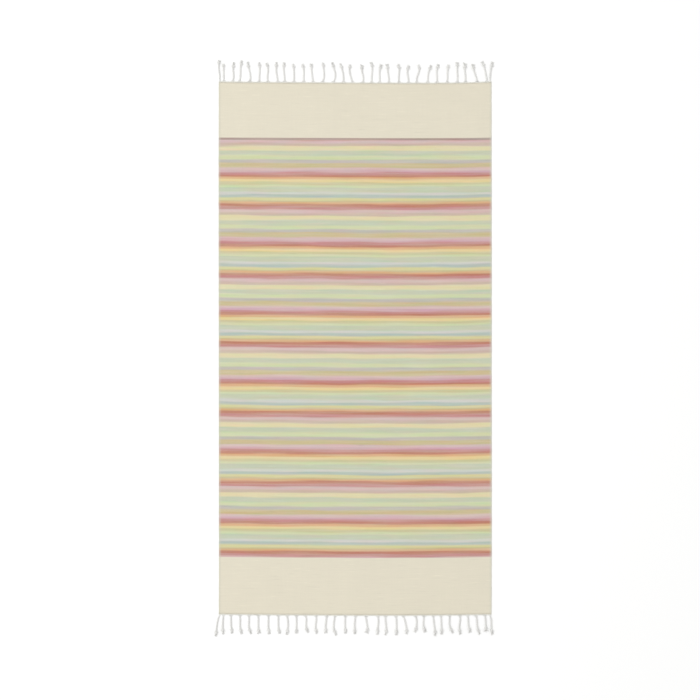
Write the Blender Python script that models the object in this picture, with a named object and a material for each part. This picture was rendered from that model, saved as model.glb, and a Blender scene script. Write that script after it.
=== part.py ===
"""A flat-woven cotton beach towel with a knotted fringe at each end, laid out flat.

Metres, +Z up. The towel lies on its underside at Z = 0. Its width runs along X and its
length along Y, with the head end at +Y and the foot end at -Y. The origin is the middle
of the cloth's underside.

Three sub-parts: the woven cloth, which is one sheet, and a fringe at each end. A fringe
is one comb: a narrow bound edge along the cloth's end, and the tassels that leave it.
The tassels are cords of twisted warp yarn with a knot and an open brush, and they lie on
the same surface as the cloth.
"""

import math
from collections import namedtuple

import bmesh
import bpy
from mathutils import Vector

MM = 0.001

# The cloth, in millimetres.
CLOTH_WIDTH = 900.0
CLOTH_LENGTH = 1752.0
CLOTH_THICKNESS = 1.5

# The fringes, in millimetres.
FRINGE_GAP = 0.3  # between the cloth's end and the bound edge
EDGE_DEPTH = 4.0  # of the bound edge, along the cloth's length
ROOT_WIDTH = 8.0  # of the yarns that a tassel gathers from the bound edge
ROOT_SHARES = (-1 / 2, -1 / 6, 1 / 6, 1 / 2)  # of that width: where a root's four columns stand
CORNER_MARGIN = 0.3  # that a root at a corner keeps from the bound edge's end
THROAT = 8.0  # how far out they have closed into a round cord
CORD_RADIUS = 3.0
KNOT_RADIUS = 5.4
KNOT_HALF_LENGTH = 4.5
NECK = 2.5  # from the knot's end to where the brush opens
BRUSH_HALF_HEIGHT = 2.6

SECTION_SIDES = 8
HALF_TURN_OF_A_SIDE = math.pi / SECTION_SIDES

COTTON_ROUGHNESS = 0.9
CREAM = (0.76, 0.71, 0.58, 1.0)
UNDYED_WHITE = (0.80, 0.79, 0.76, 1.0)

# How far each end of the cloth stands out of true, in millimetres, at places across it.
EndStation = namedtuple("EndStation", "across out")
HEAD_LINE = (
    EndStation(-450, 3.0),
    EndStation(-370, 1.6),
    EndStation(-260, 0.9),
    EndStation(-150, 0.1),
    EndStation(-30, -0.9),
    EndStation(100, -1.6),
    EndStation(230, -1.8),
    EndStation(350, -1.0),
    EndStation(420, 0.9),
    EndStation(450, 3.2),
)
FOOT_LINE = (
    EndStation(-450, -0.6),
    EndStation(-370, 0.6),
    EndStation(-260, 1.5),
    EndStation(-150, 2.1),
    EndStation(-30, 2.9),
    EndStation(100, 3.3),
    EndStation(230, 2.8),
    EndStation(350, 1.6),
    EndStation(420, 0.6),
    EndStation(450, 0.1),
)

# How far each selvage stands out of true, in millimetres, at places along the cloth.
SelvageStation = namedtuple("SelvageStation", "along left_out right_out")
SELVAGES = (
    SelvageStation(560, 0.5, 0.1),
    SelvageStation(240, 0.2, 0.5),
    SelvageStation(-90, -0.2, 0.2),
    SelvageStation(-430, -0.5, 0.6),
    SelvageStation(-700, -0.9, 0.4),
)

# One row for each tassel, from the left selvage to the right, in millimetres: where it
# leaves the cloth, how far it has swayed to the right by the middle of its cord, by its
# knot and by its tip, how far out the knot and the tip are, and how wide the brush opens.
Tassel = namedtuple("Tassel", "across mid_sway knot_sway tip_sway knot_out reach brush")
HEAD_TASSELS = (
    Tassel(-448, -1, -2, 0, 60, 69, 12),
    Tassel(-434, 0, -1, -1, 49, 56, 9),
    Tassel(-404, 2, 1, 5, 49, 62, 8),
    Tassel(-382, 3, 5, 8, 57, 69, 9),
    Tassel(-348, 1, -5, -6, 50, 65, 8),
    Tassel(-316, 0, 0, -2, 53, 63, 9),
    Tassel(-287, -2, -3, -8, 52, 61, 11),
    Tassel(-254, -6, -7, -6, 53, 64, 9),
    Tassel(-233, -2, -3, -1, 53, 63, 9),
    Tassel(-202, 0, -2, -4, 49, 58, 8),
    Tassel(-170, 0, -2, -5, 49, 58, 9),
    Tassel(-138, -5, -7, -7, 50, 60, 13),
    Tassel(-108, 5, 2, 2, 54, 63, 9),
    Tassel(-73, 7, 0, -3, 52, 65, 8),
    Tassel(-39, -1, -7, -11, 50, 62, 8),
    Tassel(-8, -9, -11, -10, 49, 58, 9),
    Tassel(25, 0, -4, -1, 45, 57, 15),
    Tassel(55, 0, 0, -4, 54, 66, 9),
    Tassel(81, -1, 1, 5, 48, 59, 14),
    Tassel(112, -3, -6, -7, 48, 60, 14),
    Tassel(145, -1, -1, -5, 49, 59, 12),
    Tassel(176, -3, -3, 2, 46, 56, 10),
    Tassel(204, 2, 7, 3, 47, 57, 10),
    Tassel(240, 0, 6, 11, 46, 56, 10),
    Tassel(270, -1, 1, 5, 49, 59, 11),
    Tassel(304, 0, 2, 4, 49, 58, 9),
    Tassel(337, 0, -1, 0, 54, 65, 12),
    Tassel(364, -1, -3, -1, 49, 62, 17),
    Tassel(402, -6, -13, -13, 46, 58, 14),
    Tassel(436, -6, -13, -18, 53, 64, 12),
    Tassel(445, 1, 5, 9, 50, 63, 12),
)
FOOT_TASSELS = (
    Tassel(-448, -8, -11, -13, 56, 70, 9),
    Tassel(-436, -1, -1, 2, 50, 63, 9),
    Tassel(-410, 0, 2, 4, 48, 60, 9),
    Tassel(-381, 1, 3, 7, 50, 61, 9),
    Tassel(-351, 0, 2, 8, 48, 61, 9),
    Tassel(-320, 0, 1, 3, 49, 59, 16),
    Tassel(-286, -1, 0, 3, 48, 61, 12),
    Tassel(-254, 0, 2, 5, 49, 59, 11),
    Tassel(-225, 3, 1, -1, 50, 63, 9),
    Tassel(-194, 0, 0, 0, 48, 58, 12),
    Tassel(-164, 2, 3, 10, 43, 54, 9),
    Tassel(-129, -1, -1, 4, 47, 57, 10),
    Tassel(-94, -3, -4, -3, 46, 57, 12),
    Tassel(-67, -4, -2, 5, 50, 63, 8),
    Tassel(-32, -2, -1, 0, 46, 57, 9),
    Tassel(2, -4, -4, -4, 47, 59, 10),
    Tassel(36, 2, 4, 1, 44, 56, 17),
    Tassel(75, 1, -2, -2, 48, 60, 12),
    Tassel(100, 1, 2, -1, 49, 62, 9),
    Tassel(135, 1, 1, 1, 50, 63, 11),
    Tassel(159, 7, 10, 9, 47, 59, 9),
    Tassel(199, 4, 1, -2, 42, 53, 10),
    Tassel(227, -2, 0, 5, 42, 53, 14),
    Tassel(258, 2, 5, 5, 52, 66, 9),
    Tassel(283, 1, 2, 3, 48, 61, 10),
    Tassel(312, -1, 4, 11, 46, 57, 9),
    Tassel(346, -1, -2, 2, 48, 61, 10),
    Tassel(372, 1, 4, 8, 44, 56, 15),
    Tassel(398, 4, 7, 14, 48, 62, 9),
    Tassel(429, 1, 2, 3, 42, 53, 17),
    Tassel(445, 4, 5, 9, 50, 64, 10),
)


def clear_scene():
    """Removes every object of the startup scene."""
    for obj in list(bpy.data.objects):
        bpy.data.objects.remove(obj)


def cotton(name, colour):
    """A matt cotton material of one colour."""
    material = bpy.data.materials.new(name)
    material.use_nodes = True
    shader = material.node_tree.nodes["Principled BSDF"]
    shader.inputs["Base Color"].default_value = colour
    shader.inputs["Roughness"].default_value = COTTON_ROUGHNESS
    shader.inputs["Metallic"].default_value = 0.0
    return material


def add_object(name, mesh, material, smooth):
    """Triangulates a closed mesh, turns its faces outwards and adds it as an object."""
    bmesh.ops.triangulate(mesh, faces=mesh.faces)
    bmesh.ops.recalc_face_normals(mesh, faces=mesh.faces)
    data = bpy.data.meshes.new(name)
    mesh.to_mesh(data)
    mesh.free()
    data.materials.append(material)
    if smooth:
        data.shade_smooth()
        data.set_sharp_from_angle(angle=math.radians(50))
    obj = bpy.data.objects.new(name, data)
    bpy.context.scene.collection.objects.link(obj)
    return obj


def end_out(line, across):
    """How far a cloth's end stands out of true at one place, on straight runs between stations."""
    for near, far in zip(line, line[1:]):
        if across <= far.across:
            share = (across - near.across) / (far.across - near.across)
            return near.out + share * (far.out - near.out)
    return line[-1].out


def end_y(line, across, side):
    """Where a cloth's end runs at one place; side is 1 at the head and -1 at the foot."""
    return side * (CLOTH_LENGTH / 2 + end_out(line, across))


def prism(mesh, outline, height):
    """Adds a closed slab of that outline, standing on Z = 0, with all sizes in millimetres."""
    base = mesh.faces.new([mesh.verts.new((x * MM, y * MM, 0.0)) for x, y in outline])
    raised = bmesh.ops.extrude_face_region(mesh, geom=[base])["geom"]
    top = [item for item in raised if isinstance(item, bmesh.types.BMVert)]
    bmesh.ops.translate(mesh, verts=top, vec=(0.0, 0.0, height * MM))


def cloth_outline():
    """The cloth's outline, clockwise from the left end of the head: ends and selvages in turn."""
    half = CLOTH_WIDTH / 2
    head = [(s.across, end_y(HEAD_LINE, s.across, 1)) for s in HEAD_LINE]
    right = [(half + s.right_out, s.along) for s in SELVAGES]
    foot = [(s.across, end_y(FOOT_LINE, s.across, -1)) for s in reversed(FOOT_LINE)]
    left = [(-half - s.left_out, s.along) for s in reversed(SELVAGES)]
    return head + right + foot + left


def make_cloth(material):
    """The woven cloth, one flat sheet with its true outline."""
    mesh = bmesh.new()
    prism(mesh, cloth_outline(), CLOTH_THICKNESS)
    return add_object("cloth", mesh, material, smooth=False)


def sway(tassel, out):
    """A tassel's sway at one distance out: the one cubic through its root, middle, knot and tip."""
    knots = (0.0, tassel.knot_out / 2, tassel.knot_out, tassel.reach)
    sways = (0.0, tassel.mid_sway, tassel.knot_sway, tassel.tip_sway)
    total = 0.0
    for i, (here, value) in enumerate(zip(knots, sways)):
        others = (knot for j, knot in enumerate(knots) if j != i)
        total += value * math.prod((out - other) / (here - other) for other in others)
    return total


def tassel_stations(tassel):
    """Distance out, half width and half height of a tassel's sections after its root."""
    knot_start = tassel.knot_out - KNOT_HALF_LENGTH
    knot_end = tassel.knot_out + KNOT_HALF_LENGTH
    cord_length = knot_start - THROAT
    return (
        (THROAT, CORD_RADIUS, CORD_RADIUS),
        (THROAT + 0.4 * cord_length, CORD_RADIUS, CORD_RADIUS),
        (THROAT + 0.8 * cord_length, CORD_RADIUS, CORD_RADIUS),
        (knot_start + 1.0, KNOT_RADIUS - 0.6, KNOT_RADIUS - 0.6),
        (knot_end - 1.0, KNOT_RADIUS, KNOT_RADIUS),
        (knot_end + NECK, CORD_RADIUS + 0.4, CORD_RADIUS),
        (tassel.reach, tassel.brush / 2, BRUSH_HALF_HEIGHT),
    )


def section(mesh, tassel, base_y, side, station):
    """One eight-sided section of a tassel, square to its run, with its underside on Z = 0."""
    out, half_width, half_height = station
    step = 0.5
    lean = (sway(tassel, out + step) - sway(tassel, out - step)) / (2 * step)
    across_run = Vector((1.0, -side * lean, 0.0)).normalized()
    centre = Vector((tassel.across + sway(tassel, out), base_y + side * out, 0.0))
    flat = math.cos(HALF_TURN_OF_A_SIDE)
    verts = []
    for i in range(SECTION_SIDES):
        turn = math.tau * i / SECTION_SIDES - math.pi + HALF_TURN_OF_A_SIDE
        place = centre + across_run * half_width * math.cos(turn)
        place.z = half_height * (math.sin(turn) + flat)
        verts.append(mesh.verts.new(place * MM))
    return verts


def bridge(mesh, ring, following):
    """Joins two sections of the same number of points with a band of four-sided faces."""
    count = len(ring)
    for i in range(count):
        j = (i + 1) % count
        mesh.faces.new((ring[i], ring[j], following[j], following[i]))


def add_tassel(mesh, root, tassel, base_y, side):
    """Carries a tassel's sections out from its root on the bound edge and closes the tip."""
    ring = root
    for station in tassel_stations(tassel):
        following = section(mesh, tassel, base_y, side, station)
        bridge(mesh, ring, following)
        ring = following
    mesh.faces.new(ring)


def make_fringe(name, line, tassels, side, material):
    """One end's fringe: a bound edge beside the cloth's end, and the tassels that leave it."""
    mesh = bmesh.new()

    def column(across, out):
        """The bound edge's bottom and top points at one place."""
        y = end_y(line, across, side) + side * out
        return [mesh.verts.new(Vector((across, y, z)) * MM) for z in (0.0, CLOTH_THICKNESS)]

    inner = [column(s.across, FRINGE_GAP) for s in line]
    outer_out = FRINGE_GAP + EDGE_DEPTH
    outer = [column(line[0].across, outer_out)]
    limit = CLOTH_WIDTH / 2 - CORNER_MARGIN
    for tassel in tassels:
        places = [tassel.across + ROOT_WIDTH * share for share in ROOT_SHARES]
        stand = [column(max(-limit, min(limit, place)), outer_out) for place in places]
        mesh.faces.new((*outer[-1], *reversed(stand[0])))
        root = [bottom for bottom, _ in stand] + [top for _, top in reversed(stand)]
        base_y = end_y(line, tassel.across, side) + side * outer_out
        add_tassel(mesh, root, tassel, base_y, side)
        outer += stand
    outer.append(column(line[-1].across, outer_out))
    mesh.faces.new((*outer[-2], *reversed(outer[-1])))

    around = outer + inner[::-1]
    for level in (0, 1):
        mesh.faces.new([pair[level] for pair in around])
    for near, far in zip(inner, inner[1:]):
        mesh.faces.new((*near, *reversed(far)))
    for left, right in ((inner[0], outer[0]), (inner[-1], outer[-1])):
        mesh.faces.new((*left, *reversed(right)))
    return add_object(name, mesh, material, smooth=True)


def main():
    """Builds the towel."""
    clear_scene()
    make_cloth(cotton("striped_cotton", CREAM))
    yarn = cotton("fringe_yarn", UNDYED_WHITE)
    make_fringe("fringe_head", HEAD_LINE, HEAD_TASSELS, 1, yarn)
    make_fringe("fringe_foot", FOOT_LINE, FOOT_TASSELS, -1, yarn)


main()
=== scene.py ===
"""The looks of a flat-woven cotton beach towel with a knotted fringe at each end.

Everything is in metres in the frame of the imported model: +X across the width, +Y along the
length towards the head end, +Z up, and the towel lies on Z = 0. The woven cloth is one
sheet. At each of its ends a twined cord binds the last pick, and the warp ends beyond it
are gathered into tassels: fanned roots, a two-ply cord, a knot and an open brush.
"""

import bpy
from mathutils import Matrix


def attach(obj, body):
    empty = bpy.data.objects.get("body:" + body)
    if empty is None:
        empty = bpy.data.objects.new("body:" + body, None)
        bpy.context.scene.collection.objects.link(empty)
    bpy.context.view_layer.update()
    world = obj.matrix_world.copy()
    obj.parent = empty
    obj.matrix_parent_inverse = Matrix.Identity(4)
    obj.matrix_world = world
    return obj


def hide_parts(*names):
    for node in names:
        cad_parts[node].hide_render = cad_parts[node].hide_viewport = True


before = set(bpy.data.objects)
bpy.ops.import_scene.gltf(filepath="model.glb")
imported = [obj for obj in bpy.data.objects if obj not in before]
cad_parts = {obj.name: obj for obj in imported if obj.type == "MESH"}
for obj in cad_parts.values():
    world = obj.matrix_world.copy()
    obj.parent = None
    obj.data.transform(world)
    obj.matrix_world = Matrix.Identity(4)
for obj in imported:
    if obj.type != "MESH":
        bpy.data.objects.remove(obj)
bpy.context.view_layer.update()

import logging
import math
from dataclasses import dataclass, field
from enum import Enum
from typing import NamedTuple

import bpy
import numpy as np

LOG = logging.getLogger("beach_towel")
MM = 0.001
CLOTH_WIDTH = 900.0 * MM
CLOTH_LENGTH = 1752.0 * MM

WEAVE_MAP = "weave"
YARN_MAP = "yarn"
TONE = "tone"

UP = np.array([0.0, 0.0, 1.0])
TWO_PLIES = np.array([0.0, math.pi])  # how far round a cord its two plies stand
SMOOTHING = 0.35  # of a table's mean step: how far to either side a curve is averaged
SMOOTHING_READS = 9
CLEARANCE = 0.02 * MM  # between a yarn that lies on the ground and the ground


class End(Enum):
    """The cloth's two ends, by the way they face along Y."""

    HEAD = 1
    FOOT = -1


class Slot(Enum):
    """The record's material slots."""

    STRIPED_COTTON = "striped_cotton"
    FRINGE_YARN = "fringe_yarn"


class Yarn(Enum):
    """The cloth's yarns as display colours from 0 to 255: the dyes, the undyed and the edge's."""

    BRICK = (195, 140, 120)
    ROSE = (200, 150, 145)
    BLUSH = (215, 190, 185)
    TAUPE = (205, 185, 170)
    BUTTER = (225, 215, 175)
    MINT = (200, 205, 180)
    PISTACHIO = (210, 215, 175)
    DOVE = (195, 190, 180)
    TAN = (205, 190, 150)
    MAUVE = (210, 175, 180)
    APRICOT = (220, 180, 140)
    STRAW = (230, 210, 160)
    SAGE = (205, 200, 160)
    PEARL = (210, 210, 200)
    SLATE = (185, 195, 185)
    LIME = (215, 210, 160)
    UMBER = (180, 160, 150)
    ECRU = (229, 222, 202)
    EDGE_GREY = (210, 210, 195)


class Stripe(NamedTuple):
    """One stripe of the weaver's chart: its yarn, and how many picks it is woven for."""

    yarn: Yarn
    picks: int


# The repeat from its brick line towards the foot: a broad ground, then a slim one.
BROAD_GROUND = (
    Stripe(Yarn.BRICK, 4),
    Stripe(Yarn.ROSE, 13),
    Stripe(Yarn.BLUSH, 13),
    Stripe(Yarn.TAUPE, 12),
    Stripe(Yarn.BUTTER, 19),
    Stripe(Yarn.MINT, 20),
    Stripe(Yarn.PISTACHIO, 17),
    Stripe(Yarn.DOVE, 14),
    Stripe(Yarn.TAN, 19),
    Stripe(Yarn.BLUSH, 10),
    Stripe(Yarn.MAUVE, 9),
    Stripe(Yarn.ROSE, 11),
    Stripe(Yarn.BRICK, 4),
)
SLIM_GROUND = (
    Stripe(Yarn.BRICK, 4),
    Stripe(Yarn.APRICOT, 11),
    Stripe(Yarn.STRAW, 12),
    Stripe(Yarn.SAGE, 10),
    Stripe(Yarn.PISTACHIO, 9),
    Stripe(Yarn.MINT, 21),
    Stripe(Yarn.PEARL, 11),
    Stripe(Yarn.SLATE, 12),
    Stripe(Yarn.LIME, 12),
    Stripe(Yarn.TAN, 5),
    Stripe(Yarn.APRICOT, 8),
    Stripe(Yarn.BRICK, 7),
)


def picks_in(ground: tuple[Stripe, ...]) -> int:
    """Counts a ground's picks.

    Args:
        ground: The ground's stripes.

    Returns:
        How many picks it has.
    """
    return sum(stripe.picks for stripe in ground)


class EndStation(NamedTuple):
    """How far a cloth's end stands out of true at a place across it, in millimetres."""

    across: float
    out: float


HEAD_LINE = (
    EndStation(-450, 3.0),
    EndStation(-370, 1.6),
    EndStation(-260, 0.9),
    EndStation(-150, 0.1),
    EndStation(-30, -0.9),
    EndStation(100, -1.6),
    EndStation(230, -1.8),
    EndStation(350, -1.0),
    EndStation(420, 0.9),
    EndStation(450, 3.2),
)
FOOT_LINE = (
    EndStation(-450, -0.6),
    EndStation(-370, 0.6),
    EndStation(-260, 1.5),
    EndStation(-150, 2.1),
    EndStation(-30, 2.9),
    EndStation(100, 3.3),
    EndStation(230, 2.8),
    EndStation(350, 1.6),
    EndStation(420, 0.6),
    EndStation(450, 0.1),
)


class SelvageStation(NamedTuple):
    """How far each selvage stands out of true at a place along the cloth, in millimetres."""

    along: float
    left_out: float
    right_out: float


SELVAGES = (
    SelvageStation(-876, 0.0, 0.0),
    SelvageStation(-700, -0.9, 0.4),
    SelvageStation(-430, -0.5, 0.6),
    SelvageStation(-90, -0.2, 0.2),
    SelvageStation(240, 0.2, 0.5),
    SelvageStation(560, 0.5, 0.1),
    SelvageStation(876, 0.0, 0.0),
)


class BeatStation(NamedTuple):
    """How far the picks have drifted along the cloth, and the share of the bow they keep."""

    along: float
    drift: float
    bow: float


BEAT = (
    BeatStation(-876, 0.0, 1.0),
    BeatStation(-670, -1.5, 1.0),
    BeatStation(-560, 0.5, 1.0),
    BeatStation(-200, 2.0, 1.0),
    BeatStation(100, 1.0, 1.0),
    BeatStation(290, -2.0, 1.0),
    BeatStation(470, -1.0, 0.8),
    BeatStation(700, 0.0, 0.3),
    BeatStation(876, 0.0, 1.0),
)


class Tassel(NamedTuple):
    """One tassel, in millimetres.

    It leaves the cloth at a place across it, sways to the right by the middle of its cord,
    by its knot and by its tip, and has its knot and its tip so far out. The brush is as
    wide as it opens.
    """

    across: float
    mid_sway: float
    knot_sway: float
    tip_sway: float
    knot_out: float
    reach: float
    brush: float


HEAD_TASSELS = (
    Tassel(-448, -1, -2, 0, 60, 69, 12),
    Tassel(-434, 0, -1, -1, 49, 56, 9),
    Tassel(-404, 2, 1, 5, 49, 62, 8),
    Tassel(-382, 3, 5, 8, 57, 69, 9),
    Tassel(-348, 1, -5, -6, 50, 65, 8),
    Tassel(-316, 0, 0, -2, 53, 63, 9),
    Tassel(-287, -2, -3, -8, 52, 61, 11),
    Tassel(-254, -6, -7, -6, 53, 64, 9),
    Tassel(-233, -2, -3, -1, 53, 63, 9),
    Tassel(-202, 0, -2, -4, 49, 58, 8),
    Tassel(-170, 0, -2, -5, 49, 58, 9),
    Tassel(-138, -5, -7, -7, 50, 60, 13),
    Tassel(-108, 5, 2, 2, 54, 63, 9),
    Tassel(-73, 7, 0, -3, 52, 65, 8),
    Tassel(-39, -1, -7, -11, 50, 62, 8),
    Tassel(-8, -9, -11, -10, 49, 58, 9),
    Tassel(25, 0, -4, -1, 45, 57, 15),
    Tassel(55, 0, 0, -4, 54, 66, 9),
    Tassel(81, -1, 1, 5, 48, 59, 14),
    Tassel(112, -3, -6, -7, 48, 60, 14),
    Tassel(145, -1, -1, -5, 49, 59, 12),
    Tassel(176, -3, -3, 2, 46, 56, 10),
    Tassel(204, 2, 7, 3, 47, 57, 10),
    Tassel(240, 0, 6, 11, 46, 56, 10),
    Tassel(270, -1, 1, 5, 49, 59, 11),
    Tassel(304, 0, 2, 4, 49, 58, 9),
    Tassel(337, 0, -1, 0, 54, 65, 12),
    Tassel(364, -1, -3, -1, 49, 62, 17),
    Tassel(402, -6, -13, -13, 46, 58, 14),
    Tassel(436, -6, -13, -18, 53, 64, 12),
    Tassel(445, 1, 5, 9, 50, 63, 12),
)
FOOT_TASSELS = (
    Tassel(-448, -8, -11, -13, 56, 70, 9),
    Tassel(-436, -1, -1, 2, 50, 63, 9),
    Tassel(-410, 0, 2, 4, 48, 60, 9),
    Tassel(-381, 1, 3, 7, 50, 61, 9),
    Tassel(-351, 0, 2, 8, 48, 61, 9),
    Tassel(-320, 0, 1, 3, 49, 59, 16),
    Tassel(-286, -1, 0, 3, 48, 61, 12),
    Tassel(-254, 0, 2, 5, 49, 59, 11),
    Tassel(-225, 3, 1, -1, 50, 63, 9),
    Tassel(-194, 0, 0, 0, 48, 58, 12),
    Tassel(-164, 2, 3, 10, 43, 54, 9),
    Tassel(-129, -1, -1, 4, 47, 57, 10),
    Tassel(-94, -3, -4, -3, 46, 57, 12),
    Tassel(-67, -4, -2, 5, 50, 63, 8),
    Tassel(-32, -2, -1, 0, 46, 57, 9),
    Tassel(2, -4, -4, -4, 47, 59, 10),
    Tassel(36, 2, 4, 1, 44, 56, 17),
    Tassel(75, 1, -2, -2, 48, 60, 12),
    Tassel(100, 1, 2, -1, 49, 62, 9),
    Tassel(135, 1, 1, 1, 50, 63, 11),
    Tassel(159, 7, 10, 9, 47, 59, 9),
    Tassel(199, 4, 1, -2, 42, 53, 10),
    Tassel(227, -2, 0, 5, 42, 53, 14),
    Tassel(258, 2, 5, 5, 52, 66, 9),
    Tassel(283, 1, 2, 3, 48, 61, 10),
    Tassel(312, -1, 4, 11, 46, 57, 9),
    Tassel(346, -1, -2, 2, 48, 61, 10),
    Tassel(372, 1, 4, 8, 44, 56, 15),
    Tassel(398, 4, 7, 14, 48, 62, 9),
    Tassel(429, 1, 2, 3, 42, 53, 17),
    Tassel(445, 4, 5, 9, 50, 64, 10),
)


# ---------------------------------------------------------------- numbers and meshes


def column(rows: tuple, name: str) -> np.ndarray:
    """One named column of a table, as an array.

    Args:
        rows: The table's rows, each a named tuple.
        name: The column's name.

    Returns:
        The column, in the table's own unit.
    """
    return np.array([getattr(row, name) for row in rows], dtype=float)


def smooth_step(share: np.ndarray) -> np.ndarray:
    """Eases a share from 0 to 1: three times its square less twice its cube, held at both ends.

    Args:
        share: Any numbers.

    Returns:
        Numbers from 0 to 1.
    """
    held = np.clip(share, 0.0, 1.0)
    return held * held * (3.0 - 2.0 * held)


def smooth_run(places: np.ndarray, stations: np.ndarray, values: np.ndarray) -> np.ndarray:
    """Reads a curve with no corners through the stations of a table.

    Straight runs between the stations are read at a few places spread evenly over a fixed
    span about each place, and averaged.

    Args:
        places: Where to read the curve.
        stations: The table's places, rising.
        values: The table's values.

    Returns:
        The curve's value at each place.
    """
    span = SMOOTHING * float(np.mean(np.diff(stations)))
    offsets = np.linspace(-span, span, SMOOTHING_READS)
    reads = [np.interp(places + offset, stations, values) for offset in offsets]
    return np.mean(reads, axis=0)


def unit(vectors: np.ndarray) -> np.ndarray:
    """Scales vectors to a length of one.

    Args:
        vectors: Vectors along the last axis.

    Returns:
        The same directions, each of length one.
    """
    return vectors / np.maximum(np.linalg.norm(vectors, axis=-1, keepdims=True), 1e-12)


def turned(angle: np.ndarray, first: np.ndarray, second: np.ndarray) -> np.ndarray:
    """Turns one direction towards another, square to it.

    It is the first times the angle's cosine, plus the second times its sine.

    Args:
        angle: How far to turn, with one axis fewer than the directions.
        first: Where no turn points.
        second: Where a quarter turn points.

    Returns:
        The turned directions.
    """
    return np.cos(angle)[..., None] * first + np.sin(angle)[..., None] * second


@dataclass
class Shell:
    """A closed mesh in arrays.

    Attributes:
        points: Where its points stand, in metres.
        corners: The points of each face in turn.
        face_sizes: How many corners each face has.
        map_name: The name of the map that its material reads.
        corner_map: The map's two numbers at each corner.
        tone: One number from 0 to 1 for each point, which its material reads.
    """

    points: np.ndarray
    corners: np.ndarray
    face_sizes: np.ndarray
    map_name: str
    corner_map: np.ndarray
    tone: np.ndarray

    def to_object(self, name: str, material: bpy.types.Material) -> bpy.types.Object:
        """Puts the arrays into a mesh object at the origin.

        Args:
            name: The piece's name.
            material: The finish it wears.

        Returns:
            The new object, linked to the scene.
        """
        mesh = bpy.data.meshes.new(name)
        mesh.vertices.add(len(self.points))
        mesh.vertices.foreach_set("co", self.points.astype(np.float32).ravel())
        mesh.loops.add(len(self.corners))
        mesh.loops.foreach_set("vertex_index", self.corners.astype(np.int32))
        starts = np.concatenate(([0], np.cumsum(self.face_sizes)[:-1]))
        mesh.polygons.add(len(self.face_sizes))
        mesh.polygons.foreach_set("loop_start", starts.astype(np.int32))
        mesh.update(calc_edges=True)
        layer = mesh.uv_layers.new(name=self.map_name)
        layer.uv.foreach_set("vector", self.corner_map.astype(np.float32).ravel())
        tones = mesh.attributes.new(name=TONE, type="FLOAT", domain="POINT")
        tones.data.foreach_set("value", self.tone.astype(np.float32))
        mesh.validate()
        mesh.shade_smooth()
        mesh.materials.append(material)
        piece = bpy.data.objects.new(name, mesh)
        bpy.context.scene.collection.objects.link(piece)
        return piece


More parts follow.
